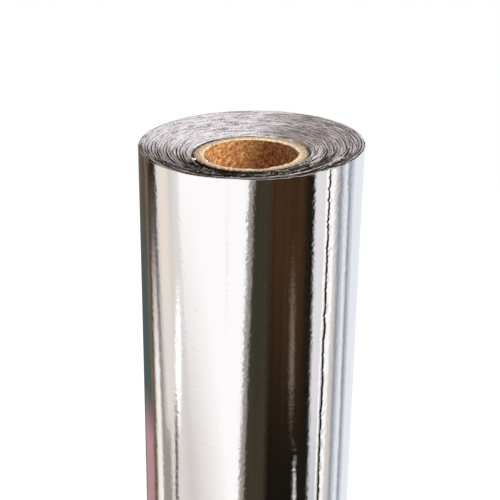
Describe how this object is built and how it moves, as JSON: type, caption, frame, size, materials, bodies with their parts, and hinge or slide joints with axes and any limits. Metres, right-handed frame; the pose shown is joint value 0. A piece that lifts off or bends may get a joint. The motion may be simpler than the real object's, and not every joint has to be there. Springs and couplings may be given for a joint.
{
  "type": "aluminium foil roll",
  "caption": "Roll of kitchen foil wound on a cardboard core tube, standing on end, with a dished end face and a free sheet edge.",
  "frame": {"origin": "centre of the core tube's lower end, on the surface that the roll stands on", "axes": "+Z along the roll's axis, up; -Y is the side the picture is taken from, with +X to its right"},
  "size_m": [0.0618, 0.0616, 0.3032],
  "materials": {
    "foil": "bright rolled, mirror-like",
    "core_board": "uncoated kraft, matt"
  },
  "bodies": {
    "root": {"wound_foil": "foil", "core_tube": "core_board"}
  },
  "joints": []
}
